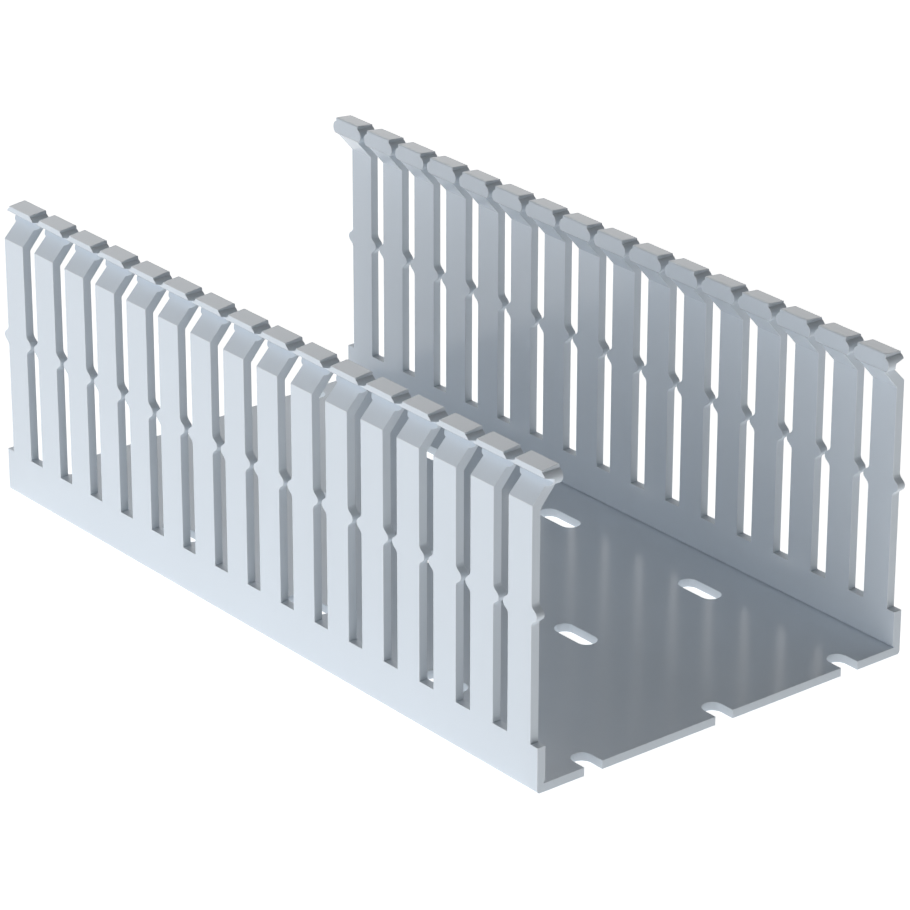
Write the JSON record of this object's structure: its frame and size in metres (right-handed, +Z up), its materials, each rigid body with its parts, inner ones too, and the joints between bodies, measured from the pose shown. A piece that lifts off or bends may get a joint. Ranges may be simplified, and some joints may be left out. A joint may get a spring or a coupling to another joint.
{
  "type": "slotted wire duct",
  "caption": "Open-topped rigid plastic wire duct: a channel whose side walls are cut into fingers with wire-retaining bumps, slotted base and cover lips.",
  "frame": {"origin": "under the middle of the base, on the plane it rests on", "axes": "+X along the duct, +Y across it, +Z up out of the open top"},
  "size_m": [0.2032, 0.108, 0.0754],
  "materials": {
    "duct_plastic": "satin extruded rigid PVC, light grey"
  },
  "bodies": {
    "root": {"duct_body": "duct_plastic"}
  },
  "joints": []
}
